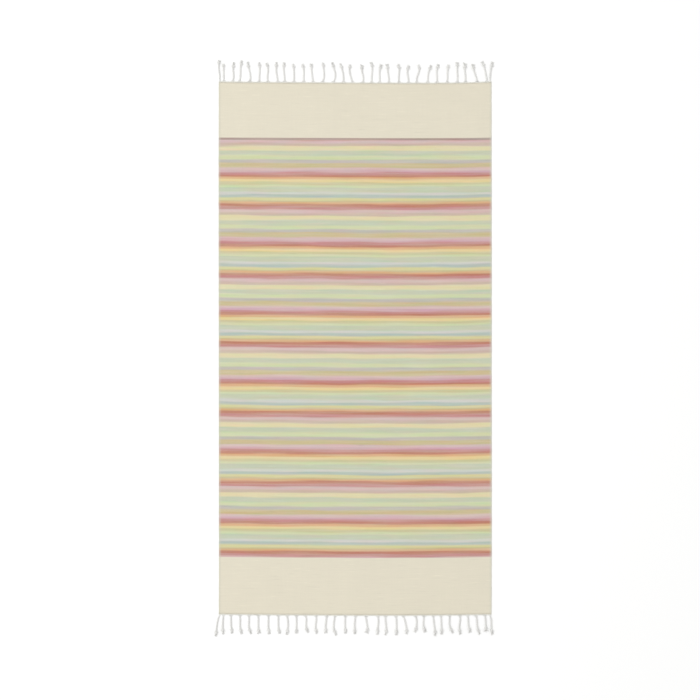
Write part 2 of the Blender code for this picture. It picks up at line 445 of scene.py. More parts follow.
@dataclass
class Yarns:
    """A set of round yarns, each a tube of the same number of rings with rounded ends.

    Attributes:
        centres: The middle of each ring, by any grouping of the yarns, ring and axis, in metres.
        radii: The radius of each ring, or of all that share it, in metres.
        facing: The way that the tube's seam faces at each ring, or at all that share it.
        sides: How many points each ring has.
        tones: One number from 0 to 1 for each yarn, which its material reads.
    """

    centres: np.ndarray
    radii: np.ndarray
    facing: np.ndarray
    sides: int
    tones: np.ndarray

    def __post_init__(self) -> None:
        """Gives every ring its own radius and facing, and counts the yarns on one axis."""
        grouped = self.centres.shape
        flat = (-1, grouped[-2])
        self.radii = np.broadcast_to(self.radii, grouped[:-1]).reshape(flat)
        self.facing = np.broadcast_to(self.facing, grouped).reshape(*flat, 3)
        self.centres = self.centres.reshape(*flat, 3)

    def ring_points(self) -> tuple[np.ndarray, np.ndarray]:
        """Works out the rings and the poles that close both ends.

        A ring's point stands off the centre by the radius, turned about the run from the
        seam's direction by its share of a full turn. A pole stands half a radius beyond
        the last ring's centre, along the run.

        Returns:
            The rings by yarn, ring, side and axis, and the poles by yarn, end and axis.
        """
        run = unit(np.gradient(self.centres, axis=1))
        seam = unit(self.facing - np.sum(self.facing * run, axis=-1, keepdims=True) * run)
        across = np.cross(run, seam)
        turn = math.tau * np.arange(self.sides) / self.sides
        spoke = turned(turn, seam[:, :, None], across[:, :, None])
        rings = self.centres[:, :, None, :] + self.radii[:, :, None, None] * spoke
        reach = 0.5 * self.radii[:, [0, -1], None] * np.array([-1.0, 1.0])[None, :, None]
        poles = self.centres[:, [0, -1]] + reach * run[:, [0, -1]]
        for part in (rings, poles):
            part[..., 2] = np.maximum(part[..., 2], CLEARANCE / 2)
        return rings, poles

    def shell(self) -> Shell:
        """Joins the rings into closed tubes.

        The yarn map holds how far round the tube a corner lies, from 0 to 1, and how far
        along it, in metres.

        Returns:
            All the yarns as one mesh in arrays.
        """
        rings, poles = self.ring_points()
        count, length, sides = rings.shape[:3]
        ring_total = count * length * sides
        index = np.arange(ring_total).reshape(count, length, sides)
        after = np.roll(index, -1, axis=2)
        walls = np.stack((index[:, :-1], after[:, :-1], after[:, 1:], index[:, 1:]), axis=-1)
        pole = ring_total + np.arange(2 * count).reshape(count, 2)
        first = np.broadcast_to(pole[:, :1], (count, sides))
        last = np.broadcast_to(pole[:, 1:], (count, sides))
        start_caps = np.stack((first, after[:, 0], index[:, 0]), axis=-1)
        end_caps = np.stack((last, index[:, -1], after[:, -1]), axis=-1)

        steps = np.linalg.norm(np.diff(self.centres, axis=1), axis=-1)
        along = np.concatenate((np.zeros((count, 1)), np.cumsum(steps, axis=1)), axis=1)
        here = np.broadcast_to(np.arange(sides) / sides, (count, length - 1, sides))
        there = here + 1.0 / sides
        low = np.broadcast_to(along[:, :-1, None], here.shape)
        high = np.broadcast_to(along[:, 1:, None], here.shape)
        near, far = here[:, 0], there[:, 0]
        middle = 0.5 * (near + far)
        start, stop = low[:, 0], high[:, -1]
        maps = (
            np.stack((here, low, there, low, there, high, here, high), axis=-1),
            np.stack((middle, start, far, start, near, start), axis=-1),
            np.stack((middle, stop, near, stop, far, stop), axis=-1),
        )
        tone = np.broadcast_to(self.tones[:, None, None], index.shape)
        return Shell(
            points=np.concatenate((rings.reshape(-1, 3), poles.reshape(-1, 3))),
            corners=np.concatenate((walls.ravel(), start_caps.ravel(), end_caps.ravel())),
            face_sizes=np.repeat((4, 3), (walls.size // 4, 2 * count * sides)),
            map_name=YARN_MAP,
            corner_map=np.concatenate([part.reshape(-1, 2) for part in maps]),
            tone=np.concatenate((tone.ravel(), np.repeat(self.tones, 2))),
        )


# ---------------------------------------------------------------- shader nodes

CROSSOVER = 0.15  # how much higher a thread is where only its own colour shows
THREADS_APART = 7.31  # in the slubs' noise, so that neighbours are not alike
COARSE_FUZZ = 5.0  # times as coarse as the fine fuzz
TONES = 997.0  # that yarns can have, so that each has slubs of its own


def linear(yarn: Yarn, light: float = 1.0) -> tuple[float, float, float, float]:
    """Turns a yarn's display colour into the share of light that it throws back.

    Args:
        yarn: The yarn.
        light: How strong the light is in which the display colour holds.

    Returns:
        Red, green and blue from 0 to 1, and an alpha of 1.
    """
    display = np.array(yarn.value) / 255.0
    share = np.where(display <= 0.04045, display / 12.92, ((display + 0.055) / 1.055) ** 2.4)
    red, green, blue = (share / light).tolist()
    return red, green, blue, 1.0


class Wiring:
    """Adds and joins the nodes of one node tree."""

    def __init__(self, tree: bpy.types.NodeTree) -> None:
        """Takes the tree that the nodes go into.

        Args:
            tree: A material's tree or a node group.
        """
        self.tree = tree

    def node(self, kind: str, **settings: object) -> bpy.types.Node:
        """Adds a node and sets its own properties.

        Args:
            kind: The node's type.
            **settings: Its properties by name.

        Returns:
            The new node.
        """
        made = self.tree.nodes.new(kind)
        for name, value in settings.items():
            setattr(made, name, value)
        return made

    def feed(self, target: bpy.types.NodeSocket, source: object) -> None:
        """Joins a socket to a source, or gives it a plain value.

        Args:
            target: The socket that is fed.
            source: A socket, a number or a tuple of numbers.
        """
        if isinstance(source, bpy.types.NodeSocket):
            self.tree.links.new(source, target)
        else:
            target.default_value = source

    def math(self, operation: str, *terms: object) -> bpy.types.NodeSocket:
        """Adds a Math node.

        Args:
            operation: The node's operation.
            *terms: Its inputs in order, each a socket or a number.

        Returns:
            Its output.
        """
        made = self.node("ShaderNodeMath", operation=operation)
        for target, term in zip(made.inputs, terms):
            self.feed(target, term)
        return made.outputs[0]

    def product(self, *factors: object) -> bpy.types.NodeSocket:
        """Multiplies factors together, in their order.

        Args:
            *factors: Two or more sockets or numbers.

        Returns:
            Their product.
        """
        total = factors[0]
        for factor in factors[1:]:
            total = self.math("MULTIPLY", total, factor)
        return total

    def blend(self, share: object, first: object, second: object) -> bpy.types.NodeSocket:
        """Adds a Mix node that goes from one colour to another.

        Args:
            share: 0 for the first colour, 1 for the second, and beyond 1 or below 0 past them.
            first: A colour socket or a colour.
            second: A colour socket or a colour.

        Returns:
            The mixed colour.
        """
        made = self.node("ShaderNodeMix", data_type="RGBA", clamp_factor=False)
        self.feed(made.inputs[0], share)
        self.feed(made.inputs[6], first)
        self.feed(made.inputs[7], second)
        return made.outputs[2]

    def shade(self, colour: object, factor: object) -> bpy.types.NodeSocket:
        """Multiplies a colour by one factor.

        Args:
            colour: A colour socket or a colour.
            factor: A socket or a number.

        Returns:
            The shaded colour.
        """
        made = self.node("ShaderNodeVectorMath", operation="SCALE")
        self.feed(made.inputs[0], colour)
        self.feed(made.inputs["Scale"], factor)
        return made.outputs[0]

    def swing(self, value: object, middle: float, amount: float) -> bpy.types.NodeSocket:
        """Turns a value about one half into a factor about a middle.

        Args:
            value: A socket from 0 to 1.
            middle: The factor where the value is one half.
            amount: How much the factor changes from end to end.

        Returns:
            The value less one half, times the amount, plus the middle.
        """
        return self.math("MULTIPLY_ADD", value, amount, middle - 0.5 * amount)

    def ranged(
        self, value: object, low: float, high: float, top: float = 1.0, course: str = "LINEAR"
    ) -> bpy.types.NodeSocket:
        """Maps a stretch of numbers onto 0 to a top, and holds its ends beyond it.

        Args:
            value: A socket.
            low: The value that gives 0.
            high: The value that gives the top.
            top: The most that it gives.
            course: How it goes from one to the other, as the Map Range node names it.

        Returns:
            The mapped value.
        """
        made = self.node("ShaderNodeMapRange", interpolation_type=course)
        for title, source in (("Value", value), ("From Min", low), ("From Max", high), ("To Max", top)):
            self.feed(made.inputs[title], source)
        return made.outputs["Result"]

    def map_place(self, name: str) -> tuple[bpy.types.NodeSocket, bpy.types.NodeSocket]:
        """Reads the two numbers that a mesh's map holds.

        Args:
            name: The map's name.

        Returns:
            The first number and the second.
        """
        parts = self.node("ShaderNodeSeparateXYZ")
        self.feed(parts.inputs[0], self.node("ShaderNodeUVMap", uv_map=name).outputs[0])
        return parts.outputs[0], parts.outputs[1]

    def bump(self, height: object, strength: float, distance: float) -> bpy.types.NodeSocket:
        """Adds a Bump node.

        Args:
            height: A socket, about 0 to 1.
            strength: How much of the bump is kept.
            distance: How high a height of 1 stands, in metres.

        Returns:
            The bumped normal.
        """
        made = self.node("ShaderNodeBump")
        for title, source in (("Height", height), ("Strength", strength), ("Distance", distance)):
            self.feed(made.inputs[title], source)
        return made.outputs[0]

    def vector(self, first: object, second: object, third: object = 0.0) -> bpy.types.NodeSocket:
        """Joins two or three numbers into a vector.

        Args:
            first: The X part.
            second: The Y part.
            third: The Z part.

        Returns:
            The vector.
        """
        made = self.node("ShaderNodeCombineXYZ")
        for target, part in zip(made.inputs, (first, second, third)):
            self.feed(target, part)
        return made.outputs[0]

    def cloud(self, where: object, scale: float, detail: float = 2.0) -> bpy.types.NodeSocket:
        """Adds a Noise Texture.

        Args:
            where: The vector that it is read at.
            scale: How many features to a unit of the vector.
            detail: How many finer layers are added.

        Returns:
            Its value, about one half.
        """
        made = self.node("ShaderNodeTexNoise")
        self.feed(made.inputs["Vector"], where)
        self.feed(made.inputs["Scale"], scale)
        self.feed(made.inputs["Detail"], detail)
        return made.outputs["Fac"]

    def chance(self, number: object) -> bpy.types.NodeSocket:
        """Gives each whole number a value of its own from 0 to 1.

        Args:
            number: A socket that holds whole numbers.

        Returns:
            The value.
        """
        made = self.node("ShaderNodeTexWhiteNoise", noise_dimensions="1D")
        self.feed(made.inputs["W"], number)
        return made.outputs["Value"]

    def place(self, group: bpy.types.NodeTree, **values: object) -> bpy.types.Node:
        """Places a node group and feeds its named inputs.

        Args:
            group: The group.
            **values: Its inputs, with underscores for the spaces in their names.

        Returns:
            The placed node.
        """
        made = self.node("ShaderNodeGroup", node_tree=group)
        for name, value in values.items():
            self.feed(made.inputs[name.replace("_", " ")], value)
        return made


def new_group(
    name: str, inputs: dict[str, float], outputs: tuple[str, ...]
) -> tuple[bpy.types.NodeTree, Wiring, dict[str, bpy.types.NodeSocket], bpy.types.Node]:
    """Starts a shader node group whose sockets are all plain numbers.

    Args:
        name: The group's name.
        inputs: Each input's name and its value when nothing feeds it.
        outputs: The outputs' names.

    Returns:
        The group, its wiring, its inputs by name and its output node.
    """
    group = bpy.data.node_groups.new(name, "ShaderNodeTree")
    for title, value in inputs.items():
        socket = group.interface.new_socket(name=title, in_out="INPUT", socket_type="NodeSocketFloat")
        socket.default_value = value
    for title in outputs:
        group.interface.new_socket(name=title, in_out="OUTPUT", socket_type="NodeSocketFloat")
    wiring = Wiring(group)
    entry = wiring.node("NodeGroupInput")
    leave = wiring.node("NodeGroupOutput")
    return group, wiring, {title: entry.outputs[title] for title in inputs}, leave


def plain_weave_group() -> bpy.types.NodeTree:
    """Builds the plain weave: over one, under one.

    A thread's height is the sine of its share of the pitch, round from side to side. It
    rises where it goes over and sinks where it goes under, by the sine along it, and the
    two sets of threads take turns by the sum of their counts. The surface is whichever
    thread is higher.

    Returns:
        The group. Relief and Warp Up run from 0 to 1, and Pick and Warp End are counts.
    """
    group, wiring, given, leave = new_group(
        "plain_weave",
        {"Across": 0.0, "Along": 0.0, "Warp Pitch": 0.001, "Weft Pitch": 0.001},
        ("Relief", "Warp Up", "Pick", "Warp End"),
    )
    counted = wiring.math("DIVIDE", given["Across"], given["Warp Pitch"])
    picked = wiring.math("DIVIDE", given["Along"], given["Weft Pitch"])
    warp_end = wiring.math("FLOOR", counted)
    pick = wiring.math("FLOOR", picked)
    warp_round, weft_round = (
        wiring.math("SINE", wiring.product(wiring.math("FRACT", share), math.pi))
        for share in (counted, picked)
    )
    parity = wiring.math("FLOORED_MODULO", wiring.math("ADD", warp_end, pick), 2.0)
    sign = wiring.math("MULTIPLY_ADD", parity, 2.0, -1.0)
    rise = wiring.product(warp_round, weft_round, sign)
    warp_level = wiring.math("MULTIPLY_ADD", rise, 0.5, wiring.product(warp_round, 0.5))
    weft_level = wiring.math("MULTIPLY_ADD", rise, -0.5, wiring.product(weft_round, 0.5))
    lead = wiring.math("SUBTRACT", warp_level, weft_level)
    for title, source in (
        ("Relief", wiring.math("MAXIMUM", warp_level, weft_level)),
        ("Warp Up", wiring.ranged(lead, -CROSSOVER, CROSSOVER)),
        ("Pick", pick),
        ("Warp End", warp_end),
    ):
        wiring.feed(leave.inputs[title], source)
    return group


def slub_group() -> bpy.types.NodeTree:
    """Builds the unevenness of spun cotton along one thread.

    A noise is read slowly along the thread and afresh for each thread's count, so a thick
    or thin place runs along one thread and stops at the next.

    Returns:
        The group. Slub runs about one half.
    """
    group, wiring, given, leave = new_group(
        "cotton_slub", {"Thread": 0.0, "Run": 0.0, "Length": 0.1}, ("Slub",)
    )
    run = wiring.math("DIVIDE", given["Run"], given["Length"])
    row = wiring.product(given["Thread"], THREADS_APART)
    wiring.feed(leave.inputs["Slub"], wiring.cloud(wiring.vector(run, row), 1.0, 1.0))
    return group


def fuzz_group() -> bpy.types.NodeTree:
    """Builds the short loose fibres that stand on cotton.

    Two noises of object space, a fine one and a coarser one, are averaged.

    Returns:
        The group. Fuzz runs about one half.
    """
    group, wiring, given, leave = new_group("cotton_fuzz", {"Fibre": 0.0006}, ("Fuzz",))
    space = wiring.node("ShaderNodeTexCoord").outputs["Object"]
    scale = wiring.math("DIVIDE", 1.0, given["Fibre"])
    fine = wiring.cloud(space, scale)
    coarse = wiring.cloud(space, wiring.math("DIVIDE", scale, COARSE_FUZZ))
    wiring.feed(leave.inputs["Fuzz"], wiring.product(wiring.math("ADD", fine, coarse), 0.5))
    return group


def twist_group() -> bpy.types.NodeTree:
    """Builds the strands that a yarn is spun or plied from.

    The height is the size of the sine of half the strands' count, carried round the yarn
    and wound on by one turn for each lay of its length, so each strand is a round ridge
    on a helix, with a fine groove between it and the next.

    Returns:
        The group. Ridge runs from 0 in the groove to 1 on the strand.
    """
    group, wiring, given, leave = new_group(
        "yarn_twist", {"Turn": 0.0, "Run": 0.0, "Strands": 4.0, "Lay": 0.006}, ("Ridge",)
    )
    wound = wiring.math("DIVIDE", given["Run"], given["Lay"])
    counted = wiring.product(wiring.math("ADD", given["Turn"], wound), given["Strands"])
    wave = wiring.math("SINE", wiring.product(counted, math.pi))
    wiring.feed(leave.inputs["Ridge"], wiring.math("ABSOLUTE", wave))
    return group


@dataclass
class CottonEffects:
    """The shader effects that the cloth and the yarns share."""

    weave: bpy.types.NodeTree = field(default_factory=plain_weave_group)
    slub: bpy.types.NodeTree = field(default_factory=slub_group)
    fuzz: bpy.types.NodeTree = field(default_factory=fuzz_group)
    twist: bpy.types.NodeTree = field(default_factory=twist_group)


def matt_cotton(name: str, sheen: float) -> tuple[bpy.types.Material, Wiring, bpy.types.Node]:
    """Starts a cotton material with the plain values that hold all over it.

    Args:
        name: The material's name.
        sheen: How much light the standing fibres catch.

    Returns:
        The material, its wiring and its shader.
    """
    material = bpy.data.materials.new(name)
    material.use_nodes = True
    shader = material.node_tree.nodes["Principled BSDF"]
    for title, value in (
        ("Metallic", 0.0),
        ("Specular IOR Level", 0.22),
        ("Sheen Weight", sheen),
        ("Sheen Roughness", 0.55),
    ):
        shader.inputs[title].default_value = value
    return material, Wiring(material.node_tree), shader


class Grain(Enum):
    """Noises that are drawn out along the picks.

    Each holds how many features it has to a metre across the cloth, how many along it, and
    where in the noise it starts, so that no two are alike.
    """

    YARN_STRAY = (5.0, 46.0, 0.0)
    WARM_DYE = (11.0, 95.0, 8.1)
    COOL_DYE = (9.0, 80.0, 5.3)
    WARP_STREAK = (4.0, 130.0, 3.7)
    # Painted light and shade: lighter and darker dashes that stand for small ripples in the cloth.
    PAINTED_RIPPLE = (17.0, 210.0, 1.9)

    def read(self, wiring: Wiring, place: tuple) -> bpy.types.NodeSocket:
        """Reads the noise.

        Args:
            wiring: The material's wiring.
            place: The place across and along the cloth, as two sockets.

        Returns:
            The noise, about one half.
        """
        *counts, start = self.value
        scaled = [wiring.product(part, count) for part, count in zip(place, counts)]
        return wiring.cloud(wiring.vector(*scaled, start), 1.0, 1.0)


@dataclass(frozen=True)
class StripedCotton:
    """The cloth's finish: undyed warp, and a weft that changes yarn from stripe to stripe.

    Attributes:
        warp_pitch: From one warp end to the next, in metres.
        repeat: The length in which the stripes come round again, in metres.
        first_line: Where the first repeat would start, along the cloth, in metres.
        field_start: Where the stripes start, towards the head, in metres.
        field_end: Where they stop, towards the foot, in metres.
        opening_line: How deep the dark line is that opens the stripes, in metres.
        lone_stray: How far a pick may take its yarn from its own place in the chart, in picks.
        shared_stray: How far it may go along with its neighbours, in picks.
        mingled: For how many picks two stripes' yarns mingle where they meet.
        dye_cast: How much the dye's wander changes red, green and blue.
        warp_shows: How much more of the warp shows where it is on top.
        warp_streaks: How much more of it shows where the picks are thin.
        selvage: How wide the doubled warp is along each edge, in metres.
        edge_fade: How many selvages in the edge's grey starts, and is full.
        edge_cover: How much of the grey there is then.
        edge_cord: How fast the selvage's cords follow one another, in metres to a radian.
        thread_tone: How much slubs change a thread's tone.
        pick_tone: How much one pick's tone differs from another's.
        cloud_tone: How much the tone changes over the whole cloth.
        painted_ripple_tone: How much lighter or darker the dashes of painted light and shade of small ripples
            make the picks.
        relief_painted_shade: How much darker the painted shade makes the gap beside a thread than its top.
        clouds: How many clouds of tone there are to a metre.
        weft_slub: How long a slub of the weft is, in metres.
        warp_slub: How long a slub of the warp is, in metres.
        fibre: How far apart the fuzz's loose fibres stand, in metres.
        depth: How deep the weave is, in metres.
        slub_height: How many times as high a slub stands as the weave.
        fuzz_height: How many times as high the fuzz stands.
        cord_height: How many times as high a selvage's cords stand.
        light: The strength of light in which the yarns' display colours hold.
    """

    warp_pitch: float = 1.0 * MM
    repeat: float = 229.2 * MM
    first_line: float = 701.6 * MM
    field_start: float = 695.0 * MM
    field_end: float = -690.0 * MM
    opening_line: float = 7.3 * MM
    lone_stray: float = 2.08
    shared_stray: float = 13.0
    mingled: float = 6.0
    dye_cast: tuple[float, float, float] = (0.18, -0.10, 0.20)
    warp_shows: float = 0.26
    warp_streaks: float = 0.6
    selvage: float = 6.0 * MM
    edge_fade: tuple[float, float] = (1.5, 0.4)
    edge_cover: float = 0.45
    edge_cord: float = 0.55 * MM
    thread_tone: float = 0.05
    pick_tone: float = 0.018
    cloud_tone: float = 0.05
    painted_ripple_tone: float = 0.32
    relief_painted_shade: float = 0.15
    clouds: float = 7.0
    weft_slub: float = 90.0 * MM
    warp_slub: float = 140.0 * MM
    fibre: float = 0.7 * MM
    depth: float = 0.25 * MM
    slub_height: float = 0.6
    fuzz_height: float = 0.35
    cord_height: float = 0.6
    light: float = 1.055

    @property
    def weft_pitch(self) -> float:
        """From one pick to the next, in metres: the repeat over the chart's picks."""
        return self.repeat / (picks_in(BROAD_GROUND) + picks_in(SLIM_GROUND))

    def ramp(self, wiring: Wiring, ground: tuple[Stripe, ...], place: object) -> bpy.types.NodeSocket:
        """Lays one ground's yarns out on a colour ramp.

        A stripe's own colour runs from half the mingled picks after its first pick to half
        of them before its last. In between, one yarn gives way to the next evenly.

        Args:
            wiring: The material's wiring.
            ground: The ground's stripes in order.
            place: How far into the ground, in picks.

        Returns:
            The weft's colour there.
        """
        made = wiring.node("ShaderNodeValToRGB")
        stops = made.color_ramp.elements
        stops.remove(stops[-1])
        stops[0].color = linear(ground[0].yarn, self.light)
        total = picks_in(ground)
        first = 0
        for stripe in ground:
            margin = min(self.mingled, 0.9 * stripe.picks) / 2
            for where in (first + margin, first + stripe.picks - margin):
                stops.new(where / total).color = linear(stripe.yarn, self.light)
            first += stripe.picks
        wiring.feed(made.inputs["Fac"], wiring.math("DIVIDE", place, float(total)))
        return made.outputs["Color"]

    def weft(self, wiring: Wiring, pick: object, place: tuple) -> bpy.types.NodeSocket:
        """Works out which yarn each pick carries.

        Picks are counted down from the first brick line, less whole repeats. The count
        strays a little from pick to pick and along the pick, as blended yarns do.

        Args:
            wiring: The material's wiring.
            pick: The pick's count.
            place: The place across and along the cloth, as two sockets.

        Returns:
            The weft's colour.
        """
        middle = wiring.math("ADD", pick, 0.5)
        along = wiring.product(middle, self.weft_pitch)
        shared = wiring.swing(Grain.YARN_STRAY.read(wiring, place), 0.0, self.shared_stray)
        stray = wiring.math("ADD", wiring.swing(wiring.chance(pick), 0.0, self.lone_stray), shared)
        strayed = wiring.math("ADD", stray, middle)
        down = wiring.math("SUBTRACT", self.first_line / self.weft_pitch, strayed)
        broad = float(picks_in(BROAD_GROUND))
        within = wiring.math("FLOORED_MODULO", down, broad + picks_in(SLIM_GROUND))
        in_slim = wiring.math("GREATER_THAN", within, broad)
        broad_colour = self.ramp(wiring, BROAD_GROUND, within)
        slim_colour = self.ramp(wiring, SLIM_GROUND, wiring.math("SUBTRACT", within, broad))
        striped = wiring.blend(in_slim, broad_colour, slim_colour)
        opening = wiring.math("GREATER_THAN", along, self.field_start - self.opening_line)
        lined = self.dyed(wiring, wiring.blend(opening, striped, linear(Yarn.UMBER, self.light)), place)
        above = wiring.math("GREATER_THAN", along, self.field_start)
        below = wiring.math("LESS_THAN", along, self.field_end)
        return wiring.blend(wiring.math("ADD", above, below), lined, linear(Yarn.ECRU, self.light))

    def dyed(self, wiring: Wiring, weft: object, place: tuple) -> bpy.types.NodeSocket:
        """Lets the dye wander along the picks, warmer and cooler in turn.

        Red rises where green falls, by one noise, and blue goes by another.

        Args:
            wiring: The material's wiring.
            weft: The weft's colour.
            place: The place across and along the cloth, as two sockets.

        Returns:
            The wandering colour.
        """
        warm = Grain.WARM_DYE.read(wiring, place)
        cool = Grain.COOL_DYE.read(wiring, place)
        cast = [wiring.swing(noise, 1.0, amount) for noise, amount in zip((warm, warm, cool), self.dye_cast)]
        made = wiring.node("ShaderNodeVectorMath", operation="MULTIPLY")
        wiring.feed(made.inputs[0], weft)
        wiring.feed(made.inputs[1], wiring.vector(*cast))
        return made.outputs[0]

    def colour(
        self, wiring: Wiring, weave: bpy.types.Node, place: tuple, edge: object
    ) -> bpy.types.NodeSocket:
        """Lets the undyed warp show between the picks, and greys the selvages.

        Args:
            wiring: The material's wiring.
            weave: The placed weave.
            place: The place across and along the cloth, as two sockets.
            edge: The distance from the nearer selvage.

        Returns:
            The cloth's colour, before it is shaded.
        """
        weft = self.weft(wiring, weave.outputs["Pick"], place)
        streaks = wiring.swing(
            Grain.WARP_STREAK.read(wiring, place), -0.5 * self.warp_shows, self.warp_streaks
        )
        showing = wiring.math("MULTIPLY_ADD", weave.outputs["Warp Up"], self.warp_shows, streaks)
        cloth = wiring.blend(showing, weft, linear(Yarn.ECRU, self.light))
        outer, inner = (share * self.selvage for share in self.edge_fade)
        greyed = wiring.ranged(edge, outer, inner, self.edge_cover, "SMOOTHSTEP")
        return wiring.blend(greyed, cloth, linear(Yarn.EDGE_GREY, self.light))

    def material(self, effects: CottonEffects) -> bpy.types.Material:
        """Builds the finish.

        The weave gives the bump and a mask that lets the undyed warp show between picks.
        Slubs vary each thread's tone, a broad noise clouds the whole, dashes of painted light and
        shade of small ripples run along the picks, painted shade darkens the gaps beside the
        threads' tops, and fuzz breaks up the roughness.

        Args:
            effects: The shared effects.

        Returns:
            The material.
        """
        material, wiring, shader = matt_cotton("striped_cotton", sheen=0.12)
        across, along = wiring.map_place(WEAVE_MAP)
        weave = wiring.place(
            effects.weave,
            Across=across,
            Along=along,
            Warp_Pitch=self.warp_pitch,
            Weft_Pitch=self.weft_pitch,
        )
        pick, relief = weave.outputs["Pick"], weave.outputs["Relief"]
        weft_slub = wiring.place(
            effects.slub, Thread=pick, Run=across, Length=self.weft_slub
        ).outputs[0]
        warp_slub = wiring.place(
            effects.slub, Thread=weave.outputs["Warp End"], Run=along, Length=self.warp_slub
        ).outputs[0]
        fuzz = wiring.place(effects.fuzz, Fibre=self.fibre).outputs[0]
        place = (across, wiring.product(pick, self.weft_pitch))
        edge = wiring.math("SUBTRACT", CLOTH_WIDTH / 2, wiring.math("ABSOLUTE", across))

        # Painted light and shade of small ripples: dashes along the picks, lighter and darker.
        painted_ripple = wiring.swing(Grain.PAINTED_RIPPLE.read(wiring, place), 0.0, 2.0)
        cloud = wiring.cloud(wiring.vector(across, along), self.clouds, 3.0)
        factor = wiring.product(
            wiring.swing(weft_slub, 1.0, self.thread_tone),
            wiring.swing(warp_slub, 1.0, self.thread_tone),
            wiring.swing(wiring.chance(pick), 1.0, self.pick_tone),
            wiring.swing(cloud, 1.0, self.cloud_tone),
            wiring.math("MULTIPLY_ADD", wiring.math("POWER", painted_ripple, 3.0), self.painted_ripple_tone, 1.0),
            # Painted shade: the gaps beside the threads' tops are darker, by the weave's relief.
            wiring.swing(relief, 1.0, self.relief_painted_shade),
        )
        colour = wiring.shade(self.colour(wiring, weave, place, edge), factor)

        doubled = wiring.math("LESS_THAN", edge, self.selvage)
        cord = wiring.math("ABSOLUTE", wiring.math("SINE", wiring.math("DIVIDE", edge, self.edge_cord)))
        height = wiring.math("ADD", wiring.swing(weft_slub, 0.0, self.slub_height), relief)
        height = wiring.math("MULTIPLY_ADD", fuzz, self.fuzz_height, height)
        height = wiring.math("MULTIPLY_ADD", wiring.product(doubled, cord), self.cord_height, height)
        wiring.feed(shader.inputs["Base Color"], colour)
        wiring.feed(shader.inputs["Roughness"], wiring.swing(fuzz, 0.9, 0.16))
        wiring.feed(shader.inputs["Normal"], wiring.bump(height, 0.8, self.depth))
        return material


class Spun(Enum):
    """The kinds of yarn in a fringe, by the names of their materials."""

    EDGE = "edge_yarn"
    PLY = "ply_yarn"
    SINGLE = "single_yarn"


@dataclass(frozen=True)
class FringeYarn:
    """The finish of the undyed yarns beyond the cloth.

    Attributes:
        kind: Which yarn it is.
        yarn: The share of light that it throws back, in red, green and blue.
        strands: How many strands show round it.
        lay: The length in which a strand goes once round, in metres.
        depth: How deep the grooves between strands are, in metres.
        shadow: How much darker the grooves are than the strands.
        drift: How much a yarn's tone wanders along its run.
        yarn_tone: How much one yarn's tone differs from another's.
        slub_tone: How much slubs change the tone.
        fuzz_tone: How much fuzz changes it.
        slub: How long a slub is, in metres.
        wander: How long a stretch of one tone is, in metres.
        fibre: How far apart the fuzz's loose fibres stand, in metres.
        fuzz_height: How many times as high the fuzz stands as a strand.
    """

    kind: Spun
    yarn: tuple[float, float, float]
    strands: float
    lay: float
    depth: float
    shadow: float = 0.14
    drift: float = 0.05
    yarn_tone: float = 0.08
    slub_tone: float = 0.10
    fuzz_tone: float = 0.12
    slub: float = 6.0 * MM
    wander: float = 30.0 * MM
    fibre: float = 0.45 * MM
    fuzz_height: float = 0.5

    def material(self, effects: CottonEffects) -> bpy.types.Material:
        """Builds the finish.

        The twist gives the bump and darkens its grooves. Each yarn has a tone of its own,
        which wanders slowly along it, and slubs and fuzz break up what is left.

        Args:
            effects: The shared effects.

        Returns:
            The material.
        """
        material, wiring, shader = matt_cotton(self.kind.value, sheen=0.2)
        turn, run = wiring.map_place(YARN_MAP)
        tone = wiring.node("ShaderNodeAttribute", attribute_name=TONE).outputs["Fac"]
        ridge = wiring.place(
            effects.twist, Turn=turn, Run=run, Strands=self.strands, Lay=self.lay
        ).outputs[0]
        thread = wiring.math("FLOOR", wiring.product(tone, TONES))
        slub, slow = (
            wiring.place(effects.slub, Thread=thread, Run=run, Length=length).outputs[0]
            for length in (self.slub, self.wander)
        )
        fuzz = wiring.place(effects.fuzz, Fibre=self.fibre).outputs[0]
        factor = wiring.product(
            wiring.swing(ridge, 1.0 - 0.5 * self.shadow, self.shadow),
            wiring.swing(tone, 1.0, self.yarn_tone),
            wiring.swing(slub, 1.0, self.slub_tone),
            wiring.swing(slow, 1.0, self.drift),
            wiring.swing(fuzz, 1.0, self.fuzz_tone),
        )
        ridged = wiring.math("ADD", ridge, slub)
        height = wiring.math("MULTIPLY_ADD", fuzz, self.fuzz_height, ridged)
        wiring.feed(shader.inputs["Base Color"], wiring.shade(self.yarn, factor))
        wiring.feed(shader.inputs["Roughness"], wiring.swing(fuzz, 0.88, 0.2))
        wiring.feed(shader.inputs["Normal"], wiring.bump(height, 0.7, self.depth))
        return material


# ---------------------------------------------------------------- the towel


def register(piece: bpy.types.Object, node: str) -> None:
    """Attaches a finished piece to the root body, hides the CAD node that it stands for, and logs it.

    Args:
        piece: The piece.
        node: The CAD node that it stands for.
    """
    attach(piece, "root")
    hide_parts(node)
    LOG.info("%s: %d faces, stands for %s", piece.name, len(piece.data.polygons), node)


class Wave(NamedTuple):
    """A wave along a line.

    It has a height and a length in metres, and leads by so many times the line's own phase.
    """

    height: float
    length: float
    lead: float

    def at(self, places: np.ndarray, phase: float) -> np.ndarray:
        """How far the wave stands off the line.

        Args:
            places: Places along the line, in metres.
            phase: The line's own phase.

        Returns:
            The wave, in metres.
        """
        return self.height * np.sin(math.tau * places / self.length + self.lead * phase)


SELVAGE_PULL = (Wave(0.16 * MM, 47.0 * MM, 1.0), Wave(0.10 * MM, 19.0 * MM, 3.0))
TWINE_WANDER = (Wave(0.22 * MM, 83.0 * MM, 1.0), Wave(0.15 * MM, 31.0 * MM, 2.0))


